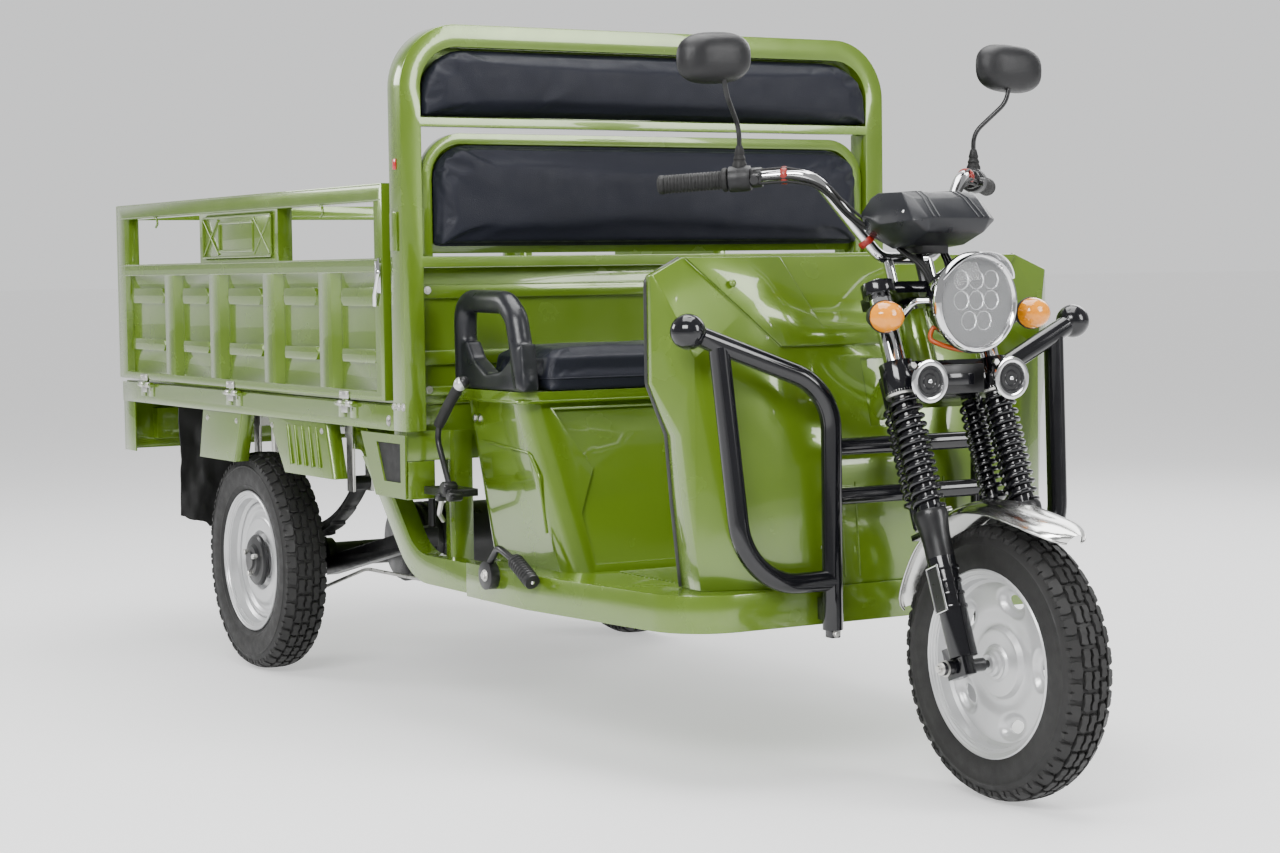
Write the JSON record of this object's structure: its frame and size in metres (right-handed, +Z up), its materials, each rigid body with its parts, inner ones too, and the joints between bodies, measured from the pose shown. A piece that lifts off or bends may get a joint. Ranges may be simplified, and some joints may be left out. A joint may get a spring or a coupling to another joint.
{
  "type": "electric cargo tricycle",
  "caption": "Electric cargo tricycle with a drop-sided load bed, padded bench seat, leg shield, tubular front bars and a raked telescopic fork.",
  "frame": {"origin": "on the ground, in the middle of the length and width", "axes": "+X forward, +Y to the rider's left, +Z up"},
  "size_m": [3.1989, 1.206, 1.445],
  "materials": {
    "green_paint": "gloss",
    "bed_sheet": "gloss, worn by loads",
    "pad_cover": "matt vinyl",
    "black_plastic": "fine grain",
    "black_gloss": "gloss",
    "rubber": "matt",
    "red_lens": "gloss",
    "zinc": "satin",
    "chrome": "mirror",
    "amber_lens": "gloss",
    "steel_sheet": "bright pressed sheet",
    "tyre": "matt block tread",
    "silver_paint": "satin silver"
  },
  "bodies": {
    "chassis": {"main_frame": "green_paint", "floor_pan": "green_paint", "bed_frame": "green_paint", "bed_floor": "bed_sheet", "headboard_hoop": "green_paint", "headboard": "green_paint", "seat_back_frame": "green_paint", "lower_back_pad": "pad_cover", "upper_back_board": "green_paint", "upper_back_pad": "pad_cover", "seat_base": "green_paint", "battery_pack": "black_plastic", "seat_handles": "black_plastic", "leg_shield": "green_paint", "bull_bar": "black_gloss", "corner_steps": "green_paint", "mudguard_brackets": "green_paint", "mud_flaps": "rubber", "lamp_board": "green_paint", "tail_lamps": "red_lens", "rear_axle": "black_gloss", "drive_motor": "black_gloss", "leaf_springs": "black_gloss", "spring_hangers": "zinc", "trailing_arms": "black_gloss", "brake_rods": "zinc", "gear_lever": "black_gloss", "parking_lever": "black_gloss", "brake_pedal": "black_gloss", "side_latches": "zinc"},
    "steering": {"fork_clamps": "black_gloss", "fork_stanchions": "chrome", "fork_springs": "black_gloss", "fork_sliders": "black_gloss", "inner_dampers": "black_gloss", "handlebar": "chrome", "grips_and_switches": "rubber", "mirrors": "black_plastic", "instrument_housing": "black_plastic", "headlamp": "chrome", "turn_signals": "amber_lens", "horns": "black_plastic", "front_fender": "steel_sheet"},
    "front_wheel": {"front_tyre": "tyre", "front_rim": "silver_paint"},
    "rear_wheel_left": {"rear_tyre_left": "tyre", "rear_rim_left": "silver_paint", "rear_hub_cap_left": "black_plastic"},
    "rear_wheel_right": {"rear_tyre_right": "tyre", "rear_rim_right": "silver_paint", "rear_hub_cap_right": "black_plastic"},
    "drop_side_left": {"side_wall_left": "green_paint"},
    "drop_side_right": {"side_wall_right": "green_paint"},
    "tailgate": {"tailgate": "green_paint"},
    "seat_lid": {"seat_cushion": "pad_cover"}
  },
  "joints": [
    {"name": "steering_turn", "type": "hinge", "parent": "chassis", "child": "steering", "pos_m": [1.414, 0, 0], "axis": [-0.3584, 0, 0.9336], "range_deg": [-40, 40]},
    {"name": "front_wheel_spin", "type": "hinge", "parent": "steering", "child": "front_wheel", "pos_m": [1.355, 0, 0.2445], "axis": [0, 1, 0], "continuous": true},
    {"name": "rear_wheel_left_spin", "type": "hinge", "parent": "chassis", "child": "rear_wheel_left", "pos_m": [-0.824, 0.501, 0.26], "axis": [0, 1, 0], "continuous": true},
    {"name": "rear_wheel_right_spin", "type": "hinge", "parent": "chassis", "child": "rear_wheel_right", "pos_m": [-0.824, -0.501, 0.26], "axis": [0, 1, 0], "continuous": true},
    {"name": "drop_side_left_hinge", "type": "hinge", "parent": "chassis", "child": "drop_side_left", "pos_m": [-0.724, 0.5965, 0.665], "axis": [-1, 0, 0], "range_deg": [0, 170]},
    {"name": "drop_side_right_hinge", "type": "hinge", "parent": "chassis", "child": "drop_side_right", "pos_m": [-0.724, -0.5965, 0.665], "axis": [1, 0, 0], "range_deg": [0, 170]},
    {"name": "tailgate_hinge", "type": "hinge", "parent": "chassis", "child": "tailgate", "pos_m": [-1.593, 0, 0.665], "axis": [0, -1, 0], "range_deg": [0, 165]},
    {"name": "seat_lid_hinge", "type": "hinge", "parent": "chassis", "child": "seat_lid", "pos_m": [0.226, 0, 0.712], "axis": [0, -1, 0], "range_deg": [0, 65]}
  ]
}
